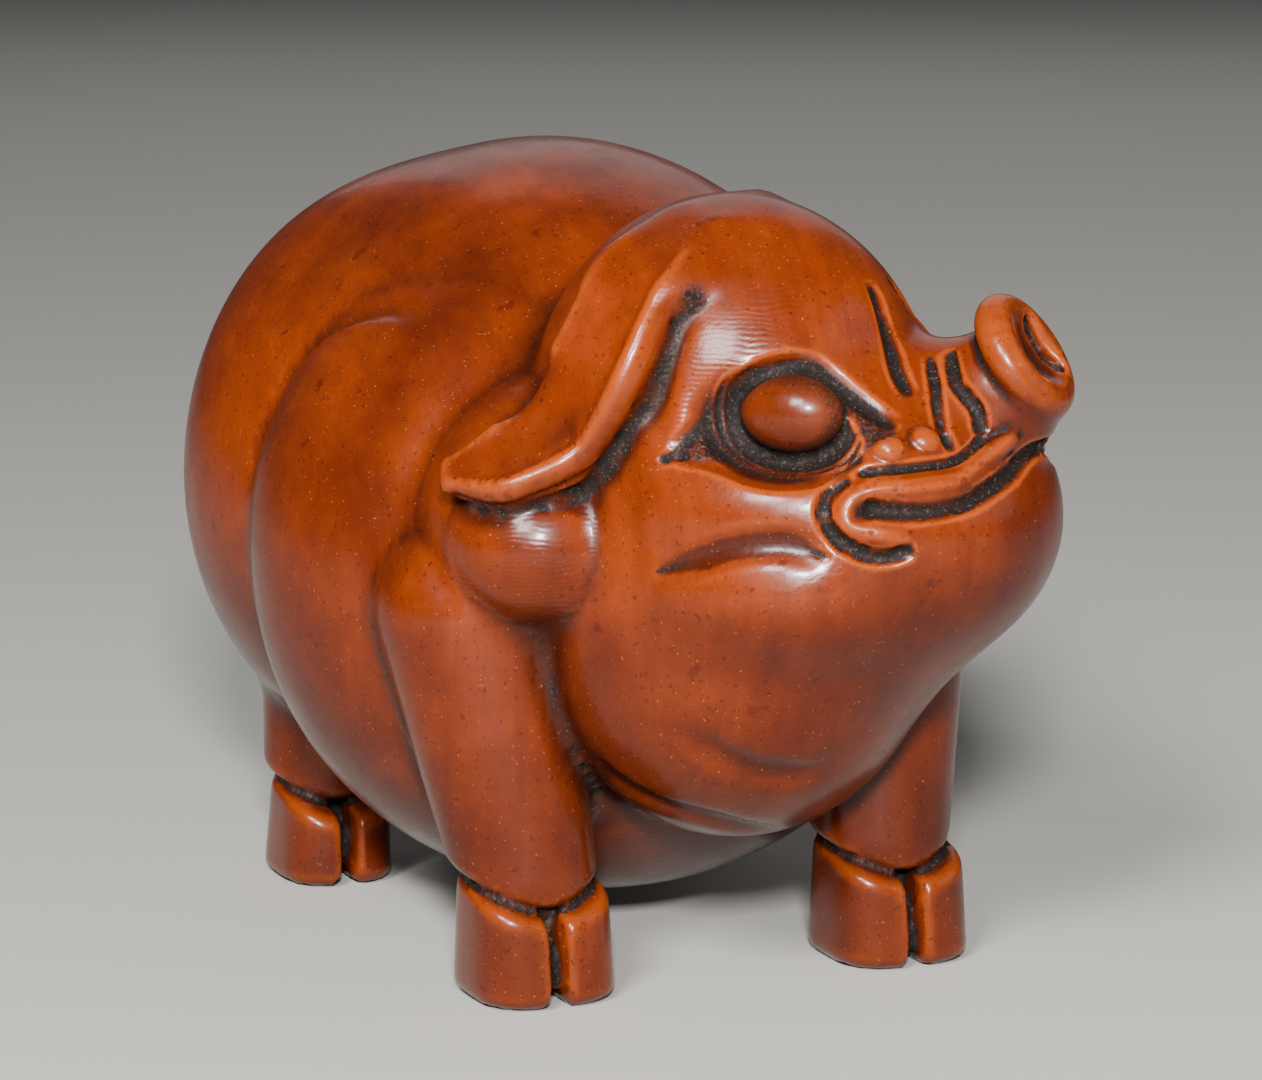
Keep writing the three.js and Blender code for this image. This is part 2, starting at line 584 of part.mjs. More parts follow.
// Merges corners, the flattest places first, until the given number of facets is left
function thin({ points, facets }, goal) {
  const around = points.map(() => new Set());
  const forms = points.map(() => new Array(10).fill(0));
  const stamps = new Uint32Array(points.length);
  const normalOf = ([a, b, c]) => cross(subtract(points[b], points[a]), subtract(points[c], points[a]));
  facets.forEach((facet, index) => {
    const normal = normalOf(facet);
    const area = hypot(...normal);
    const direction = normal.map((value) => value / (area || 1));
    const plane = planeForm(direction, -dot(direction, points[facet[0]]), area);
    for (const corner of facet) {
      around[corner].add(index);
      plane.forEach((value, n) => { forms[corner][n] += value; });
    }
  });
  const heap = new Heap();
  const offer = (a, b) => {
    const form = forms[a].map((value, n) => value + forms[b][n]);
    const place = meetingPlace(form, points[a], points[b]);
    if (points[a][2] === 0 && points[b][2] === 0) place[2] = 0;
    const soleEdge = (points[a][2] === 0) !== (points[b][2] === 0);
    if (soleEdge) return;
    const span = subtract(points[a], points[b]);
    const cost = misfit(form, place) + 1e-5 * dot(span, span);
    heap.push({ cost, a, b, place, stamp: stamps[a] + stamps[b] });
  };
  const neighbours = (corner) => {
    const found = new Set();
    for (const index of around[corner]) for (const other of facets[index]) found.add(other);
    found.delete(corner);
    return found;
  };
  const turnsOver = (corner, other, place) => {
    for (const index of around[corner]) {
      const facet = facets[index];
      if (facet.includes(other)) continue;
      const before = normalOf(facet);
      const [a, b, c] = facet.map((n) => (n === corner ? place : points[n]));
      const after = cross(subtract(b, a), subtract(c, a));
      const longest = max(...[subtract(b, a), subtract(c, b), subtract(a, c)].map((e) => dot(e, e)));
      if (dot(before, after) < 0.3 * hypot(...before) * hypot(...after)) return true;
      if (hypot(...after) < 0.05 * longest) return true;
    }
    return false;
  };
  facets.forEach(([a, b, c]) => {
    if (a < b) offer(a, b);
    if (b < c) offer(b, c);
    if (c < a) offer(c, a);
  });
  let count = facets.length;
  while (count > goal && heap.entries.length > 0) {
    const { a, b, place, stamp } = heap.pop();
    if (!around[a] || !around[b] || stamps[a] + stamps[b] !== stamp) continue;
    const shared = [...around[a]].filter((index) => around[b].has(index));
    const nearB = neighbours(b);
    const common = [...neighbours(a)].filter((corner) => nearB.has(corner));
    if (shared.length !== 2 || common.length !== 2) continue;
    if (turnsOver(a, b, place) || turnsOver(b, a, place)) continue;
    points[a] = place;
    forms[b].forEach((value, n) => { forms[a][n] += value; });
    for (const index of shared) {
      for (const corner of facets[index]) around[corner].delete(index);
      facets[index] = null;
    }
    for (const index of around[b]) {
      facets[index] = facets[index].map((corner) => (corner === b ? a : corner));
      around[a].add(index);
    }
    around[b] = null;
    stamps[a] += stamps[b] + 1;
    count -= 2;
    for (const corner of neighbours(a)) offer(a, corner);
  }
  return facets.filter(Boolean);
}

// The finished solid, with its middle over the origin and its soles at zero height
const rough = outerSkin(cutOut(pig));
trueUp(rough.points, pig);
const facets = thin(rough, FACET_COUNT);
const corners = [...new Set(facets.flat())];
const numbers = new Map(corners.map((corner, number) => [corner, number]));
const solid = new THREE.BufferGeometry();
solid.setAttribute('position', new THREE.Float32BufferAttribute(corners.flatMap((n) => rough.points[n]), 3));
solid.setIndex(facets.flatMap((facet) => facet.map((corner) => numbers.get(corner))));
solid.computeBoundingBox();
const centre = solid.boundingBox.getCenter(new THREE.Vector3());
solid.translate(-centre.x, -centre.y, 0);
solid.computeVertexNormals();

const boxwood = new THREE.MeshStandardMaterial({ color: 0x9a4a1c, roughness: 0.35, metalness: 0 });
const carving = new THREE.Mesh(solid, boxwood);
carving.name = 'pig_carving';

const group = new THREE.Group();
group.add(carving);
export default group;
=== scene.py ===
"""A small boxwood pig, carved in one piece, on a plain floor."""

import math

import bmesh
import bpy
import numpy as np
from mathutils import Matrix, Vector


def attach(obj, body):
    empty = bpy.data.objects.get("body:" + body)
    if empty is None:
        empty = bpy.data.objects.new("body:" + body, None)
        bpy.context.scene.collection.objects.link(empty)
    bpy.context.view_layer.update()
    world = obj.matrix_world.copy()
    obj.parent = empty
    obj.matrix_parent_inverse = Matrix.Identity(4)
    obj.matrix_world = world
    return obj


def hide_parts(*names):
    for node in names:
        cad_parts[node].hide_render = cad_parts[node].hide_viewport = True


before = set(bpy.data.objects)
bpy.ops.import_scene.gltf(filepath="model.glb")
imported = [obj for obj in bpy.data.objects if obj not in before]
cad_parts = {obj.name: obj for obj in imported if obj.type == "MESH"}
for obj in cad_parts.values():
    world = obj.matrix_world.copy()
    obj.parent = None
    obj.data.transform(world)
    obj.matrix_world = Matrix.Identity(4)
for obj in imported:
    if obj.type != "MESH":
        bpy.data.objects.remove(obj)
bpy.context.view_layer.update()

# Body: the long back, the full belly that swells over the flanks, and a haunch on each side,
# rounded off from the one block of boxwood that the whole pig is cut from. A form here gives
# each point, a row x, y, z in millimetres, its distance from the surface, below zero inside.
def length(rows):
    return np.sqrt((rows * rows).sum(axis=1))


def egg(middle, halves):
    """An egg-shaped mass: its middle and three half-widths."""
    middle = np.array(middle, float)
    halves = np.array(halves, float)

    def distance(points):
        share = (points - middle) / halves
        reach = length(share)
        return reach * (reach - 1) / np.maximum(length(share / halves), 1e-9)

    return distance


def join(a, b, fillet):
    """Joins two forms with a fillet of about the given size."""
    overlap = np.maximum(fillet - np.abs(a - b), 0) / fillet
    return np.minimum(a, b) - overlap * overlap * fillet / 4


def mirrored(points):
    """The same points, brought to the left side."""
    return np.abs(points) * [1, 0, 0] + points * [0, 1, 1]


back = egg([0, 9.5, 28.9], [20.6, 27, 22])
belly = egg([0, 0, 24.2], [23.6, 19.5, 21.8])
haunch = egg([9.5, 15.9, 25.6], [12.6, 14.4, 15.2])
hip = egg([8, 18, 30.5], [12.5, 13.5, 16])
flank = egg([8.4, 0.3, 28.6], [14.3, 14.6, 15.2])
neck_roll = egg([8, -14.2, 29.6], [10, 7.6, 9.6])
shoulder_roll = egg([11.6, -18.2, 29.2], [6.2, 5.4, 5])


def body(points):
    aside = mirrored(points)
    rump = join(join(back(points), haunch(aside), 6), hip(aside), 5)
    return join(rump, join(belly(points), flank(aside), 3), 0.8)


# Legs: four short stumps of the same block. Each is cut to a crown that dips to the front,
# and below it stands a square hoof, sawn with a cleft from the front to its middle.
def ramp(low, high, value):
    t = np.clip((value - low) / (high - low), 0, 1)
    return t * t * (3 - 2 * t)


def keep(a, b, rounding):
    """Keeps what two forms share, with a rounded edge."""
    return -join(-a, -b, rounding)


def limb(start, end, start_radius, end_radius):
    """A limb that tapers from one point to another."""
    start = np.array(start, float)
    span = np.array(end, float) - start

    def distance(points):
        away = points - start
        t = np.clip(away @ span / (span @ span), 0, 1)
        return length(away - t[:, None] * span) - start_radius - (end_radius - start_radius) * t

    return distance


cleft_depth = 1.5
cleft_reach = 0.8


def foot(leg, middle, width, long_way, height, points):
    """A leg that ends in a crown dipping to the front, and below it a hoof with a cleft."""
    cx, cy = middle
    x, y, z = points.T
    rise = np.clip(z / height, -0.2, 1.3)
    wide = width / 2 * (1 - 0.06 * rise)
    long = long_way / 2 * (1.06 - 0.14 * rise)
    u = np.abs(x - cx) / wide
    v = np.abs(y - cy + 0.08 * long_way * rise) / long
    across = np.abs(x - cx)
    crown = 0.74 * height + 0.3 * across + 0.22 * (y - cy + long_way / 2)
    hoof = ((u ** 3 + v ** 3) ** (1 / 3) - 1) * np.minimum(wide, long)
    hoof = keep(hoof, -z, 0.13 * width)
    hoof = keep(hoof, (z - crown) * 0.9, 0.9)
    limb_gap = leg(points)
    shank = np.minimum(keep(limb_gap, (crown + 0.35 - z) * 0.9, 0.6), limb_gap + 0.8)
    cleft = ramp(0, 1, 1 - across / cleft_reach)
    cleft = cleft * ramp(cy + 0.05 * long_way, cy - 0.25 * long_way, y)
    cleft = cleft * ramp(crown + 0.8, crown - 0.8, z)
    return join(shank, hoof, 0.35) + cleft_depth * cleft


fore_leg = limb([13.9, -13, 24], [12.3, -15.3, 8], 6.07, 4.6)
hind_leg = limb([12.6, 19.4, 15], [13.4, 19.2, 6], 4.6, 3.9)


def fore_foot(points):
    lean = 0.6 - 0.055 * points[:, 2]
    aside = np.column_stack([np.abs(points[:, 0] - lean), points[:, 1], points[:, 2]])
    return foot(fore_leg, (12.3, -15.9), 9.4, 9, 7.4, aside)


def hind_foot(points):
    return foot(hind_leg, (13.4, 18), 7.8, 9, 6.2, mirrored(points))


# Head: skull, jaw, throat, cheeks, jowls and muzzle rounded into one another, in the head's
# own directions: out to a side, forward along the snout, and up. It is turned to the pig's
# left about a point in the neck.
head_turn = math.radians(44)
head_y = -17.0
skull = egg([0, 1.3, 35.5], [11.4, 13, 14.6])
jaw = egg([0, 9.8, 30.6], [12.4, 12.5, 10.2])
throat = egg([0, 1.6, 24.3], [13.2, 12.8, 14.6])
cheek = egg([8.6, 6, 32.4], [4.6, 6.2, 3.4])
jowl = egg([7.6, 7.5, 27.4], [6.6, 7.4, 4.6])
muzzle = limb([0, 11, 34.5], [0, 18.6, 38.6], 6, 4.08)


def to_head(points):
    x, y, z = points.T
    side = x * math.cos(head_turn) + (y - head_y) * math.sin(head_turn)
    front = x * math.sin(head_turn) - (y - head_y) * math.cos(head_turn)
    return np.column_stack([side, front, z])


def head(points):
    points = mirrored(points)
    d = join(skull(points), jaw(points), 3)
    d = join(d, throat(points), 5)
    d = join(d, muzzle(points), 2)
    d = join(d, cheek(points), 2.5)
    return join(d, jowl(points), 2.2)


def masses(points):
    """Body, legs and head joined, before any carving."""
    d = join(body(points), neck_roll(mirrored(points)), 1.2)
    d = join(d, hind_foot(points), 1.5)
    d = join(d, fore_foot(points), 1)
    d = join(d, shoulder_roll(mirrored(points)), 1.2)
    return join(d, head(to_head(points)), 1)


# Snout: a turned-up disc with a thick rim, dished in front, and two slit nostrils pierced
# at a slant. It is set into the end of the muzzle without a join.
disc_tilt = math.radians(34)
disc_front = 20.3
disc_up = 41
rim_radius = 3.1
nostril_rise = 3.2


def snout(d, points):
    side, front, z = points.T
    front = front - disc_front
    up = z - disc_up
    depth = front * math.cos(disc_tilt) + up * math.sin(disc_tilt)
    height = up * math.cos(disc_tilt) - front * math.sin(disc_tilt)
    radius = np.hypot(side, height)
    rim = np.hypot(radius - rim_radius, depth) - 1.15
    over_rim = np.maximum(radius - rim_radius, 0)
    plate = np.hypot(over_rim, np.maximum(np.abs(depth - 0.1) - 0.3, 0)) - 0.5
    dish = np.hypot(radius, (depth - 2.35) * 1.5) - rim_radius
    low = height + 1.5
    along = np.clip(low / nostril_rise, 0, 1)
    slit = np.hypot(np.abs(side) - 1.85 + 0.4 * along, low - nostril_rise * along) - 0.5
    slit = np.maximum(slit, -depth - 1.1)
    disc = join(d, join(rim, plate, 0.5), 0.5)
    return keep(keep(disc, -dish, 0.2), -slit, 0.25)


# Eye, mouth and folds: a round ball left standing in an almond hollow, and the lids, the mouth
# with its curled lip, the jowl, wrinkles and throat rolls, cut with a gouge as lines along the
# head, or left proud of it.
def through(points, steps):
    """A smooth line through a few points; a point may carry more numbers than its place."""
    points = np.array(points, float)
    last = len(points) - 1
    line = []
    for i in range(last):
        a, b, c, d = (points[n] for n in (max(0, i - 1), i, i + 1, min(last, i + 2)))
        for k in range(steps):
            t = k / steps
            line.append(0.5 * (2 * b + (c - a) * t + (2 * a - 5 * b + 4 * c - d) * t * t
                               + (3 * b - a - 3 * c + d) * t ** 3))
    line.append(points[last])
    return np.array(line)


def outward(form, points, feel):
    """The directions straight out of a form at some points, felt over a distance."""
    slope = np.empty_like(points)
    for axis in range(3):
        step = np.zeros(3)
        step[axis] = feel
        slope[:, axis] = form(points + step) - form(points - step)
    return slope / np.maximum(length(slope), 1e-12)[:, None]


def settle(form, points, lift=0.0):
    """Moves points onto a form's surface, or to a lift above it."""
    points = np.array(points, float)
    for _ in range(8):
        gap = form(points) - lift
        points = points - outward(form, points, 0.05) * (gap * 0.9)[:, None]
    return points


def nearest_on(line, points):
    """For each point: squared distance to a line, the span it is nearest to, and how far along."""
    starts = line[:-1]
    spans = line[1:] - starts
    sizes = np.maximum((spans * spans).sum(axis=1), 1e-12)
    best = np.full(len(points), np.inf)
    index = np.zeros(len(points), int)
    part = np.zeros(len(points))
    for i, (start, span, size) in enumerate(zip(starts, spans, sizes)):
        away = points - start
        t = np.clip(away @ span / size, 0, 1)
        miss = away - t[:, None] * span
        far = (miss * miss).sum(axis=1)
        closer = far < best
        best = np.where(closer, far, best)
        index = np.where(closer, i, index)
        part = np.where(closer, t, part)
    return best, index, part


def stroke(form, points, width, depth, run_out):
    """A chisel cut along a line on a form, or with a depth below zero a raised bead.

    The cut dies away over the first and the last part of its line, its run_out.
    """
    line = through(settle(form, points), 5)
    half = width / 2
    low = line.min(axis=0) - half
    high = line.max(axis=0) + half

    def cut(d, points):
        near = ((points > low) & (points < high)).all(axis=1)
        near &= np.abs(d) < half + abs(depth) + 1.5
        if not near.any():
            return d
        away, index, part = nearest_on(line, points[near])
        place = (index + part) / (len(line) - 1)
        ends = np.minimum(ramp(0, run_out, place), ramp(0, run_out, 1 - place))
        out = d.copy()
        out[near] += depth * ends * ramp(0, 1, 1 - np.sqrt(away) / half)
        return out

    cut.line = line
    return cut


eye_middle = [9.5, 8.9, 38.2]
eye_halves = [1.95, 3.2, 2.35]
eyeball = egg(eye_middle, eye_halves)
eye_hollow = egg([11.8, 9.3, 38.2], [3.4, 6.3, 3.95])
upper_lid_line = [[12, 2.1, 35.6], [11.2, 4, 37.7], [9.8, 6.5, 40.4], [8.2, 9.4, 41],
                  [7.4, 11.8, 39.1], [7.6, 15, 37.2]]
lower_lid_line = [[12, 2.1, 35.6], [12.4, 5.2, 35.4], [12.6, 8.4, 34.7], [11.4, 11.6, 35],
                  [9.6, 13.6, 36.2]]
jowl_line = [[13.2, 1.2, 28.5], [13.7, 4.7, 29.7], [13.7, 7.5, 30.7], [13.1, 10.2, 30.9],
             [12.3, 12.7, 30.1]]
mouth_line = [[11.3, 14, 33.1], [9.7, 17, 32.8], [7.4, 19.3, 33.2], [3.9, 20.9, 34.5],
              [1.7, 21.5, 35.4], [0, 21.8, 35.6]]
inside_the_mouth = [[side, front, up + 0.35] for side, front, up in mouth_line]
mouth = stroke(head, mouth_line, 1.6, 1, 0.06)
lid_cuts = [
    stroke(head, upper_lid_line, 2, 0.6, 0.12),
    stroke(head, upper_lid_line, 0.9, 0.45, 0.12),
    stroke(head, lower_lid_line, 1.5, 0.4, 0.12),
]
face_cuts = [stroke(head, *line) for line in [
    (inside_the_mouth, 0.6, 0.6, 0.06),
    # the lip that curls round the corner of the mouth, between two grooves
    ([[2.6, 20.8, 36.9], [4.8, 19.6, 35.6], [7.4, 18.6, 34.6], [9.4, 16.6, 34.3],
      [10.8, 14.4, 34.2], [11.6, 13.3, 33.2], [11.6, 13.7, 31.9], [10, 17, 31.3]], 1.8, -0.6, 0.1),
    ([[4.4, 19.4, 37], [5.4, 19, 36.2], [7.1, 18.2, 35.6], [8.8, 16.5, 35.4], [9.9, 15, 35.3],
      [10.8, 13.2, 35.1]], 0.9, 0.45, 0.15),
    ([[10.8, 13.2, 35.1], [11.8, 12, 33.7], [12.2, 12.1, 32.3], [12, 13.2, 31],
      [11.2, 15.1, 30.2], [10, 17.1, 30.7]], 1.35, 0.85, 0.12),
    # the corner of the eye
    ([[12, 1.2, 35.2], [12.1, 2.6, 35.7], [11.9, 4, 36.3], [11.4, 5.4, 37]], 1.1, 0.5, 0.3),
    # jowl, with a thin crease along it
    (jowl_line, 3, 0.45, 0.3),
    (jowl_line, 0.8, 0.4, 0.2),
    # the fold behind the disc between two grooves, and the groove beside the bridge
    ([[2.1, 16.2, 41.6], [3.8, 17.2, 39.9], [4.2, 18, 39.1], [4.3, 18.8, 38.2],
      [4.6, 19.2, 36.8]], 1.3, 0.7, 0.15),
    ([[2.4, 15, 41.5], [4.5, 16.2, 39.4], [5.5, 16.8, 38], [6.1, 17.3, 37.1], [6.6, 18.2, 35.9]],
     1.1, 0.5, 0.2),
    ([[1.5, 10.8, 45.4], [1.9, 11.6, 44.2], [3, 12.7, 42], [4.6, 13.9, 40.1],
      [5.5, 15.1, 38.9]], 1.5, 0.5, 0.25),
]]
throat_cuts = [stroke(head, *line) for line in [
    ([[12.3, 2.8, 19.2], [11, 4.9, 17.3], [9, 7.4, 15.9], [5.7, 10.3, 15.7]], 2.9, 0.7, 0.3),
    ([[8.5, -5.8, 16.7], [8.5, -3.4, 14.7], [8.2, 0, 13], [6.9, 3.3, 12], [1.7, 5.5, 10.5]],
     2.9, 0.7, 0.2),
]]
head_cuts = lid_cuts + [mouth] + face_cuts + throat_cuts


def socket(points):
    """The head with its eye hollows, which the ridges round the eyeballs lie on."""
    return keep(head(points), -eye_hollow(mirrored(points)), 0.8)


def lid_ridge(reach):
    """A fine ridge round the eyeball, that far out from it."""
    _, front, up = eye_middle
    _, half_long, half_tall = eye_halves
    turns = np.radians(np.arange(-180, 181, 24))
    points = [[10.6, front + (half_long + reach) * math.cos(turn),
               up + (half_tall + reach) * math.sin(turn)] for turn in turns]
    return stroke(socket, points, 0.5, -0.12, 0.01)


lid_ridges = [lid_ridge(0.6), lid_ridge(1.25)]
nodules = [egg([8.9, 14.9, 36.4], [0.9, 0.9, 0.7]), egg([7.1, 16.5, 36.7], [0.8, 0.9, 0.8])]


def face(d, points):
    aside = mirrored(points)
    d = keep(d, -eye_hollow(aside), 0.8)
    d = join(d, eyeball(aside), 0.15)
    d = snout(d, points)
    for cut in head_cuts + lid_ridges:
        d = cut(d, aside)
    for nodule in nodules:
        d = join(d, nodule(aside), 0.3)
    return d


# Ears: a flap each, left standing on the head and neck and cut free towards its tip, with a
# raised rim and a groove along the front edge. A row of an ear's line holds a place and its
# lift off the form below; the shares give its width and thickness from root to tip.
ear_width = 7.2
ear_thickness = 2.6
width_shares = [0.6, 1, 1.03, 0.92, 0.8, 0.36]
thickness_shares = [0.92, 1, 1, 0.92, 0.8, 0.65]
edge_groove_depth = 0.3
ear_room = 6.8
far_from_ear = 3.2


def ear(points, front_side):
    points = np.array(points, float)
    seats = settle(masses, points[:, :3], points[:, 3])
    outs = outward(masses, seats, 1.6)
    outs = 2 * outs + np.vstack([outs[:1], outs[:-1]]) + np.vstack([outs[1:], outs[-1:]])
    line = through(np.hstack([seats, outs]), 6)
    middles = line[:, :3]
    ahead = np.vstack([middles[1:], middles[-1:]])
    behind = np.vstack([middles[:1], middles[:-1]])
    tangents = ahead - behind
    tangents /= length(tangents)[:, None]
    acrosses = np.cross(tangents, line[:, 3:])
    acrosses /= length(acrosses)[:, None]
    ups = np.cross(acrosses, tangents)
    low = middles.min(axis=0) - ear_room
    high = middles.max(axis=0) + ear_room
    fifths = np.linspace(0, 1, 6)

    def eased(values, place):
        i = np.minimum(np.floor(place * 5).astype(int), 4)
        values = np.array(values)
        return values[i] + (values[i + 1] - values[i]) * ramp(0, 1, place * 5 - fifths[i] * 5)

    def flap(points):
        outside = np.maximum(low - points, points - high).max(axis=1)
        d = np.maximum(outside, far_from_ear)
        near = outside <= 0
        if not near.any():
            return d
        points = points[near]
        _, index, part = nearest_on(middles, points)

        def mixed(rows):
            return rows[index] + (rows[index + 1] - rows[index]) * part[:, None]

        away = points - mixed(middles)
        place = (index + part) / (len(middles) - 1)
        across = (away * mixed(acrosses)).sum(axis=1)
        at_front = ramp(-1, 1, across * front_side)
        across = np.abs(across)
        half_width = ear_width / 2 * eased(width_shares, place)
        rim = ramp(0.5, 0.85, across / half_width) * (0.2 + 0.35 * at_front)
        half_thickness = ear_thickness / 2 * eased(thickness_shares, place) + rim
        lifted = (away * mixed(ups)).sum(axis=1)
        rounding = 0.9 * np.minimum(half_width, half_thickness)
        wide = across - half_width + rounding
        thick = np.abs(lifted) - half_thickness + rounding
        along = (away * mixed(tangents)).sum(axis=1)
        edge = np.sqrt(np.maximum(wide, 0) ** 2 + np.maximum(thick, 0) ** 2 + along ** 2)
        groove = edge_groove_depth * ramp(0.32, 0, np.abs(lifted + 0.25)) * at_front
        groove *= ramp(0.05, 0.2, place)
        d[near] = edge + np.minimum(np.maximum(wide, thick), 0) - rounding + groove
        return d

    return flap


ears = [
    ear([[-3.4, -20.6, 48, -1.7], [-7.4, -21.7, 45.3, -0.3], [-10, -22.2, 40.6, 0.5],
         [-11.8, -21, 36.6, 0.8], [-14.8, -20.2, 34.3, 1.3], [-17.5, -18.4, 33.4, 1.8]], -1),
    ear([[3.2, -14.2, 48, -1.7], [7, -11.4, 46, -0.3], [11.4, -10, 43, 0.5],
         [15.4, -9.8, 39.6, 0.8], [18.6, -10.6, 35.8, 1.3], [20.4, -12, 32.4, 1.8]], 1),
]
ear_undercut = stroke(masses, [[-5.2, -25, 45], [-7, -23.9, 43.6], [-8.2, -24, 41.2],
                               [-9.2, -24.3, 38.4], [-10.4, -23.8, 35.6], [-12.4, -22.4, 33.4],
                               [-15, -20.4, 32.4]], 2.6, 1.4, 0.12)
ear_recess = stroke(masses, [[-5.4, -24.8, 44.6], [-6.5, -24.7, 42.6], [-7.1, -24.9, 40.8],
                             [-7.7, -25.1, 38.7], [-8.4, -24.9, 36.9]], 3.6, 0.6, 0.3)

# Fold of the flank, a shallow gouge cut, and a short tail left curled against the rump.
flank_fold = stroke(body, [[21.9, 8.5, 28], [21.3, 7.5, 31.7], [19.8, 6.3, 35.9],
                           [17.6, 3.6, 39.6], [15.7, -1.4, 41.3], [14.1, -5.8, 40.8]],
                    2.88, 0.96, 0.3)
tail = stroke(body, [[0, 35, 39], [0.8, 36, 34], [4, 36, 30], [8, 35, 29.6],
                     [9.8, 33, 32.4], [7.6, 33, 34.6]], 2.8, -1.4, 0.1)


def pig(points):
    """The whole pig: distance to its surface, below zero inside."""
    d = masses(points)
    in_head = to_head(points)
    front = (in_head[:, 1] > -4) & (points[:, 2] > 10) & (d < 8)
    if front.any():
        d[front] = face(d[front], in_head[front])
    d = ear_undercut(ear_recess(d, points), points)
    d = flank_fold(d, mirrored(points))
    d = tail(d, points)
    fillet = 0.4 + 2.7 * ramp(42.5, 46, points[:, 2])
    for flap in ears:
        d = join(d, flap(points), fillet)
    return np.maximum(d, -points[:, 2])


# The carving's surface: the solid's mesh is cut anew on an even grid, made finer where the
# carving is fine, and drawn onto the form. The frame has its origin in the middle of the
# pig's box, which the shift gives.
shift = np.array([-0.010, 0.143, 0.0])
grid_step = 0.0007


def rows_of(mesh):
    flat = np.empty(len(mesh.vertices) * 3)
    mesh.vertices.foreach_get("co", flat)
    return flat.reshape(-1, 3) * 1000 + shift


def put_rows(mesh, rows):
    mesh.vertices.foreach_set("co", ((rows - shift) / 1000).ravel())
    mesh.update()


def draw_onto(form, points, passes, reach):
    points = points.copy()
    for _ in range(passes):
        gap = np.clip(form(points), -reach, reach)
        points -= outward(form, points, 0.03) * gap[:, None]
        points[:, 2] = np.maximum(points[:, 2], 0)
    return points


def relax(mesh, points, share):
    """Evens out the mesh along its surface, keeping its form."""
    edges = np.empty(len(mesh.edges) * 2, int)
    mesh.edges.foreach_get("vertices", edges)
    a, b = edges.reshape(-1, 2).T
    here = np.concatenate([a, b])
    there = np.concatenate([b, a])
    count = np.bincount(here, minlength=len(points))
    columns = [np.bincount(here, column[there], len(points)) / count for column in points.T]
    return points + (np.column_stack(columns) - points) * share


def finer(mesh, chosen):
    """Divides the edges between the chosen points once."""
    work = bmesh.new()
    work.from_mesh(mesh)
    work.verts.ensure_lookup_table()
    edges = [edge for edge in work.edges if all(chosen[v.index] for v in edge.verts)]
    bmesh.ops.subdivide_edges(work, edges=edges, cuts=1, use_grid_fill=True)
    work.to_mesh(mesh)
    work.free()


def close_to(cuts, points, reach):
    """True for the points that lie within a reach of any of the cuts' lines."""
    close = np.zeros(len(points), bool)
    for cut in cuts:
        middle = cut.line.mean(axis=0)
        room = np.ptp(cut.line, axis=0) / 2 + 3
        around = (np.abs(points - middle) < room).all(axis=1)
        close[around] |= nearest_on(cut.line, points[around])[0] < reach ** 2
    return close


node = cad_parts["pig_carving"]
mesh = node.data.copy()
work = bmesh.new()
work.from_mesh(mesh)
work.transform(node.matrix_world)
bmesh.ops.remove_doubles(work, verts=work.verts, dist=1e-6)
work.to_mesh(mesh)
work.free()
carving = bpy.data.objects.new("pig_carved", mesh)
bpy.context.scene.collection.objects.link(carving)
cutting = carving.modifiers.new("Even cut", "REMESH")
cutting.mode = "VOXEL"
cutting.voxel_size = grid_step
cut_mesh = bpy.data.meshes.new_from_object(
    carving.evaluated_get(bpy.context.evaluated_depsgraph_get()))
carving.modifiers.clear()
carving.data = cut_mesh
mesh = cut_mesh
points = draw_onto(pig, rows_of(mesh), 3, 0.3)
points = draw_onto(pig, relax(mesh, points, 0.5), 2, 0.2)
put_rows(mesh, points)

fine_cuts = lid_cuts + [mouth] + face_cuts + lid_ridges
aside = mirrored(to_head(points))
on_face = (aside[:, 1] > 9) & (points[:, 2] > 33)
ear_near = np.minimum(ears[0](points), ears[1](points)) < 0.6
hoof_near = (points[:, 2] < 9.5) & (points[:, 2] > 0.2)
lines_near = close_to(fine_cuts, aside, 2.6) | close_to([ear_undercut, ear_recess], points, 2.4)
finer(mesh, on_face | ear_near | hoof_near | lines_near)
points = draw_onto(pig, rows_of(mesh), 3, 0.2)
put_rows(mesh, points)

aside = mirrored(to_head(points))
eye_near = (eye_hollow(aside) < 0.4) & (aside[:, 1] > 2)
disc_near = length(aside - [0, disc_front, disc_up]) < 5.4
finer(mesh, eye_near | disc_near | close_to(fine_cuts, aside, 1.3))
points = draw_onto(pig, rows_of(mesh), 4, 0.12)
points = draw_onto(pig, relax(mesh, points, 0.4), 2, 0.08)
points = draw_onto(pig, relax(mesh, points, 0.3), 2, 0.06)

# The right ear's bend and the corners under both ears are rubbed smooth.
bend_line = np.array([[-13.1, -19, 38.9], [-12.5, -20.8, 37.9]])
ear_gap = np.minimum(ears[0](points), ears[1](points))
at_bend = ramp(3.2, 1.2, np.sqrt(nearest_on(bend_line, points)[0])) * ramp(0.4, 0.1, ear_gap)
in_corner = 0.1 * ramp(1.1, 0.4, np.maximum(np.abs(ear_gap), np.abs(masses(points))))
rubbed = np.maximum(at_bend, in_corner)[:, None]
for _ in range(40):
    points = points + (relax(mesh, points, 0.6) - points) * rubbed
put_rows(mesh, points)
for polygon in mesh.polygons:
    polygon.use_smooth = True

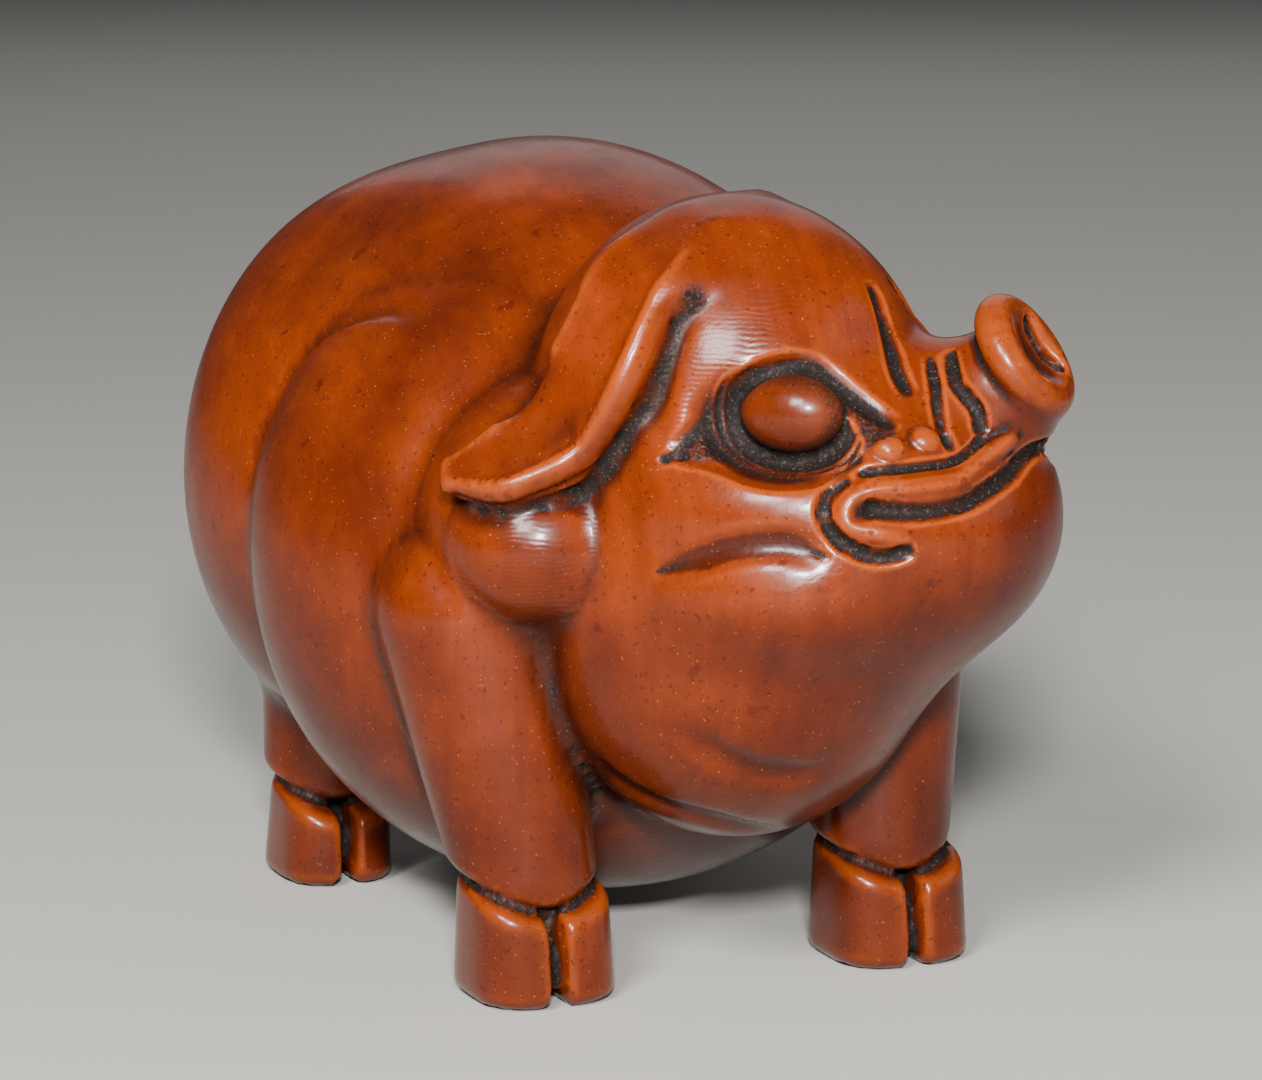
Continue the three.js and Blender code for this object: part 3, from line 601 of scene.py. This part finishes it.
# How deep each point lies in a cut, or how far it stands proud, from the difference to a
# smoothed copy. Dark wax gathers in the cuts; the proud edges are rubbed bright and given a
# painted highlight, and the broad hollows are painted darker as shade.
normals = np.empty(len(mesh.vertices) * 3)
mesh.vertices.foreach_get("normal", normals)
normals = normals.reshape(-1, 3)
bend = relax(mesh, points, 1) - points
edges = np.empty(len(mesh.edges) * 2, int)
mesh.edges.foreach_get("vertices", edges)
a, b = edges.reshape(-1, 2).T
spans = ((points[a] - points[b]) ** 2).sum(axis=1)
here = np.concatenate([a, b])
span = np.bincount(here, np.tile(spans, 2), len(points)) / np.bincount(here, minlength=len(points))
hollow = ((bend * normals).sum(axis=1) * 4 / span)[:, None]
for _ in range(2):
    hollow = relax(mesh, hollow, 0.5)
broad = hollow
for _ in range(14):
    broad = relax(mesh, broad, 0.7)
hollow = hollow[:, 0]
broad = broad[:, 0]


def seams(points):
    """How near each point lies to a seam between two of the pig's masses, from 0 to 1."""
    aside = mirrored(points)
    rump = join(join(back(points), haunch(aside), 6), hip(aside), 5)
    d = join(belly(points), flank(aside), 3)
    found = 0.8 * ramp(0.5, 0.05, np.maximum(np.abs(rump), np.abs(d)))
    d = join(rump, d, 0.8)
    # the ears' seams fade out over the top of the head
    over_top = 3 * ramp(41, 44, points[:, 2])
    rest = [neck_roll(aside), hind_foot(points), fore_foot(points), shoulder_roll(aside),
            head(to_head(points)), ears[0](points) + over_top, ears[1](points) + over_top]
    for part in rest:
        found = np.maximum(found, ramp(0.8, 0.05, np.maximum(np.abs(d), np.abs(part))))
        d = join(d, part, 1)
    return found


# Dirt packs the almond between the lids round the eyeball, the cut under the ear, the mouth
# and the seams; the ridges in the almond stand clear of it.
aside = mirrored(to_head(points))
carved_in = -masses(points)
upper_lid = np.interp(aside[:, 1], [1.3, 2.1, 4, 6.5, 9.4, 11.8, 15],
                      [35.5, 36, 38.3, 40.8, 41.3, 39.5, 37.3])
lower_lid = np.interp(aside[:, 1], [1.3, 2.1, 5.2, 8.4, 11.6, 13.6, 15],
                      [35.1, 35.3, 35.3, 34.7, 35, 36.2, 37])
between_lids = np.minimum(upper_lid - aside[:, 2], aside[:, 2] - lower_lid)
in_socket = ramp(-0.2, 0.3, between_lids) * (aside[:, 1] > 1.3) * (aside[:, 1] < 15)
in_socket *= (aside[:, 0] > 5) * (aside[:, 0] < 13.4) * ramp(0.02, 0.35, eyeball(aside))
in_socket *= ramp(0.3, 1, ear_gap)
on_ridge = np.zeros(len(points))
for ridge in lid_ridges:
    on_ridge = np.maximum(on_ridge, ramp(0.26, 0.05, np.sqrt(nearest_on(ridge.line, aside)[0])))
seam = seams(points)
grime = ramp(0.5, 1.8, hollow) + 0.8 * in_socket + 0.45 * ramp(0.35, 0.9, carved_in)
grime += 0.55 * seam ** 2 - 0.75 * on_ridge * in_socket
under_ear = ramp(1.5, 0.7, np.sqrt(nearest_on(ear_undercut.line, points)[0]))
in_mouth = ramp(0.7, 0.35, np.sqrt(nearest_on(mouth.line, aside)[0]))
grime += 0.9 * under_ear * ramp(0.1, 0.4, ear_gap) + 0.7 * in_mouth
on_ball = ramp(0.25, 0.1, eyeball(aside)) * (aside[:, 1] > 4)
off_middle = length((aside[:, 1:] - eye_middle[1:]) / eye_halves[1:])
grime += 0.6 * on_ball * ramp(0.62, 1, off_middle)
# Brighter on the proud edges: rubbed wear, and a painted highlight where the edges catch the
# light.
wear_and_highlight = ramp(0.25, 1.6, -hollow)
# Painted shade: darker in the broad hollows, in the cuts, along the seams between the masses, over
# the eyeballs, on faces that turn down and towards the bottom.
shade = ramp(0.02, 0.45, broad) + 0.5 * ramp(0.1, 0.7, carved_in) + 0.6 * seam + 0.5 * on_ball
shade += 0.45 * ramp(0.3, -0.8, normals[:, 2]) + 0.4 * ramp(26, 4, points[:, 2])
# Scraper lines show before the right ear and on the shoulder rolls.
hatch = ramp(6, 2, np.sqrt(nearest_on(ear_recess.line + [3, -1, 0], points)[0]))
hatch = np.maximum(hatch, ramp(0.7, 0.1, shoulder_roll(mirrored(points))))
for name, values in (("grime", grime), ("wear_and_highlight", wear_and_highlight), ("shade", shade), ("hatch", hatch)):
    attribute = mesh.attributes.new(name, "FLOAT", "POINT")
    attribute.data.foreach_set("value", np.clip(values, 0, 1))
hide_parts("pig_carving")
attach(carving, "root")


# Boxwood, waxed and handled for a long time: orange brown with redder and darker stains, a
# faint upright grain, near black in the cuts, brighter where the proud edges are rubbed and
# given a painted highlight, and darker with painted shade in the hollows, along the seams, over
# the eyeballs, on the undersides and towards the floor.
def linear(colour):
    """A colour written as a web colour, as the renderer's own numbers."""
    parts = [int(colour[n:n + 2], 16) / 255 for n in (1, 3, 5)]
    parts = [p / 12.92 if p <= 0.04045 else ((p + 0.055) / 1.055) ** 2.4 for p in parts]
    return (*parts, 1.0)


def add_node(tree, kind, links=(), settings=(), **attributes):
    """Adds a shader node; links and settings give what goes into its sockets."""
    made = tree.nodes.new(kind)
    for name, value in attributes.items():
        setattr(made, name, value)
    for socket, value in dict(settings).items():
        made.inputs[socket].default_value = value
    for socket, source in dict(links).items():
        tree.links.new(source, made.inputs[socket])
    return made


def plain_material(name, colour, roughness):
    material = bpy.data.materials.new(name)
    material.use_nodes = True
    shader = material.node_tree.nodes["Principled BSDF"]
    shader.inputs["Base Color"].default_value = linear(colour)
    shader.inputs["Roughness"].default_value = roughness
    return material, shader


boxwood, wood_shader = plain_material("boxwood_wax_polished", "#9a4a1c", 0.3)
tree = boxwood.node_tree
place = add_node(tree, "ShaderNodeTexCoord").outputs["Object"]

# The wood's own patterns. The first number is how many blobs go into a metre: stains 14 mm
# across, clouds 5 mm, upright grain 1.2 mm wide, blots 2.4 mm, specks 0.3 and 0.2 mm, crumbs
# and dust 0.2 mm, tool marks 0.2 by 2.6 mm, and the broad ones 3 to 9 mm. The last four are
# the two levels between which a pattern comes up, and what these become.
pattern = {}
for name, scale, detail, rough, stretch, levels in [
        ("stain", 70, 4, 0.6, (1, 1, 1), (0.4, 0.68, 0, 1)),
        ("cloud", 190, 5, 0.65, (1, 1, 1), (0.4, 0.7, 0, 0.5)),
        ("grain", 800, 4, 0.65, (1, 0.25, 0.1), (0.35, 0.72, 0, 0.4)),
        ("blot", 420, 4, 0.62, (1, 1, 1), (0.65, 0.69, 0, 0.55)),
        ("speck", 3200, 1, 0.4, (1, 1, 1), (0.66, 0.74, 0, 0.5)),
        ("pale speck", 5200, 1, 0.4, (1, 1, 1), (0.72, 0.78, 0, 0.3)),
        ("crumbs of dirt", 4200, 3, 0.6, (1, 1, 1), (0.3, 0.7, 0.55, 1.25)),
        ("dust", 5600, 2, 0.5, (1, 1, 1), (0.6, 0.74, 0, 1)),
        ("rub", 260, 3, 0.6, (1, 1, 1), (0.35, 0.7, 0.24, 0.36)),
        ("tool marks", 4200, 2, 0.5, (0.09, 1, 0.5), (0, 1, 0, 1)),
        ("where marked", 110, 2, 0.5, (1, 1, 1), (0.42, 0.6, 0.1, 0.8)),
        ("where scraped", 300, 3, 0.6, (1, 1, 1), (0.4, 0.65, 0, 0.5)),
        ("ripple", 330, 2, 0.5, (1, 1, 1), (0, 1, 0, 1))]:
    stretched = add_node(tree, "ShaderNodeMapping", {"Vector": place}, {"Scale": stretch})
    blobs = add_node(tree, "ShaderNodeTexNoise", {"Vector": stretched.outputs[0]},
                     {"Scale": scale, "Detail": detail, "Roughness": rough})
    shown = dict(zip(("From Min", "From Max", "To Min", "To Max"), levels))
    levelled = add_node(tree, "ShaderNodeMapRange", {"Value": blobs.outputs["Fac"]}, shown)
    pattern[name] = levelled.outputs["Result"]

# What the mesh says of each place: its dirt, its wear with a painted highlight, its painted
# shade, and where it was scraped.
carved = {}
for name, strength in (("grime", 1), ("wear_and_highlight", 0.55), ("shade", 0.8), ("hatch", 1)):
    told = add_node(tree, "ShaderNodeAttribute", attribute_name=name)
    carved[name] = add_node(tree, "ShaderNodeMath", {0: told.outputs["Fac"]}, {1: strength},
                            operation="MULTIPLY").outputs[0]
dirt = add_node(tree, "ShaderNodeMath", {0: carved["grime"], 1: pattern["crumbs of dirt"]},
                operation="MULTIPLY")
dirt = add_node(tree, "ShaderNodeMapRange", {"Value": dirt.outputs[0]},
                {"From Min": 0.1, "From Max": 0.85}).outputs["Result"]

# Sockets 6 and 7 of a mix node are its two colours, and its output 2 is the mixed one.
soot = add_node(tree, "ShaderNodeMix", {0: pattern["dust"]},
                {6: linear("#0c0604"), 7: linear("#42372f")}, data_type="RGBA")
wood = add_node(tree, "ShaderNodeMix", {0: pattern["stain"]},
                {6: linear("#782c08"), 7: linear("#461505")}, data_type="RGBA")
# Over the wood go clouds, grain, a brighter orange for the wear and painted highlight on the proud
# edges, a very dark painted shade, blots and specks.
for colour, where in [("#561906", pattern["cloud"]), ("#3b1005", pattern["grain"]),
                      ("#9c4211", carved["wear_and_highlight"]), ("#240904", carved["shade"]),
                      ("#3a0d06", pattern["blot"]), ("#1c0a06", pattern["speck"]),
                      ("#a8764e", pattern["pale speck"])]:
    wood = add_node(tree, "ShaderNodeMix", {0: where, 6: wood.outputs[2]},
                    {7: linear(colour)}, data_type="RGBA")
wood = add_node(tree, "ShaderNodeMix", {0: dirt, 6: wood.outputs[2], 7: soot.outputs[2]},
                data_type="RGBA")
tree.links.new(wood.outputs[2], wood_shader.inputs["Base Color"])

# The wax shines where the wood is clean, and is dull over dirt.
dull = add_node(tree, "ShaderNodeMapRange", {"Value": dirt}, {"To Max": 0.45})
roughness = add_node(tree, "ShaderNodeMath", {0: pattern["rub"], 1: dull.outputs["Result"]})
tree.links.new(roughness.outputs[0], wood_shader.inputs["Roughness"])
wax = add_node(tree, "ShaderNodeMapRange", {"Value": dirt},
               {"From Max": 0.5, "To Min": 0.16, "To Max": 0})
tree.links.new(wax.outputs["Result"], wood_shader.inputs["Coat Weight"])
wood_shader.inputs["Coat Roughness"].default_value = 0.12
wood_shader.inputs["Specular IOR Level"].default_value = 0.2

# Tool marks all over, scraper lines about 0.3 mm apart where the wood was scraped, and a broad
# ripple under the polish.
marks = add_node(tree, "ShaderNodeMath",
                 {0: pattern["tool marks"], 1: pattern["where marked"]}, operation="MULTIPLY")
lines = add_node(tree, "ShaderNodeTexWave", {"Vector": place},
                 {"Scale": 1000, "Distortion": 7, "Detail": 2, "Detail Scale": 0.5},
                 bands_direction="Z")
scraped = add_node(tree, "ShaderNodeMath", {0: lines.outputs["Fac"], 1: carved["hatch"]},
                   operation="MULTIPLY")
scraped = add_node(tree, "ShaderNodeMath",
                   {0: scraped.outputs[0], 1: pattern["where scraped"]}, operation="MULTIPLY")
marks = add_node(tree, "ShaderNodeMath", {0: marks.outputs[0], 1: scraped.outputs[0]})
ripple = add_node(tree, "ShaderNodeBump", {"Height": pattern["ripple"]},
                  {"Strength": 0.2, "Distance": 0.0002})
bump = add_node(tree, "ShaderNodeBump", {"Height": marks.outputs[0], "Normal": ripple.outputs[0]},
                {"Strength": 0.25, "Distance": 0.0001})
tree.links.new(bump.outputs["Normal"], wood_shader.inputs["Normal"])
mesh.materials.clear()
mesh.materials.append(boxwood)

# Floor and light: a plain pale floor, a soft key from the viewer's upper left, a weak fill
# from the right, a small flash beside the camera for the highlights, and a little from behind.
floor_mesh = bpy.data.meshes.new("floor")
work = bmesh.new()
bmesh.ops.create_grid(work, x_segments=1, y_segments=1, size=3)
work.to_mesh(floor_mesh)
work.free()
floor = bpy.data.objects.new("floor", floor_mesh)
bpy.context.scene.collection.objects.link(floor)
floor_paint, _ = plain_material("pale_matt_paper", "#aeaba5", 0.9)
floor_mesh.materials.append(floor_paint)


pig_middle = Vector((0, 0, 0.025))


def soft_light(name, place, size, watts):
    """A square lamp that looks at the middle of the pig."""
    lamp = bpy.data.lights.new(name, "AREA")
    lamp.size = size
    lamp.energy = watts
    made = bpy.data.objects.new(name, lamp)
    made.location = place
    made.rotation_euler = (pig_middle - made.location).to_track_quat("-Z", "Y").to_euler()
    bpy.context.scene.collection.objects.link(made)


soft_light("key", (-0.3, -0.34, 0.34), 0.14, 4.2)
soft_light("fill", (0.5, -0.4, 0.3), 0.5, 0.8)
soft_light("flash", (-0.16, -0.4, 0.2), 0.05, 5.0)
soft_light("behind", (0.25, 0.5, 0.4), 0.5, 0.5)

world = bpy.data.worlds.new("studio")
world.use_nodes = True
world.node_tree.nodes["Background"].inputs["Color"].default_value = linear("#c8ccd4")
world.node_tree.nodes["Background"].inputs["Strength"].default_value = 0.09
bpy.context.scene.world = world

# Camera, from where the photo was taken: round to the pig's right and a little above it. Its
# lens is given by the focal length in pixels and the picture's width in pixels.
focal_pixels = 5000
picture_width = 1262
sensor_width = 36
eye_at = (np.array([-124.8, -297.9, 85.41]) - shift) / 1000
pitch = math.radians(10.537)
yaw = math.radians(23)
camera_data = bpy.data.cameras.new("camera")
camera_data.lens = focal_pixels * sensor_width / picture_width
camera_data.sensor_width = sensor_width
camera_data.sensor_fit = "HORIZONTAL"
camera_data.clip_start = 0.01
camera = bpy.data.objects.new("camera", camera_data)
camera.matrix_world = (Matrix.Translation(Vector(eye_at)) @ Matrix.Rotation(-yaw, 4, "Z")
                       @ Matrix.Rotation(math.pi / 2 - pitch, 4, "X"))
bpy.context.scene.collection.objects.link(camera)
bpy.context.scene.camera = camera
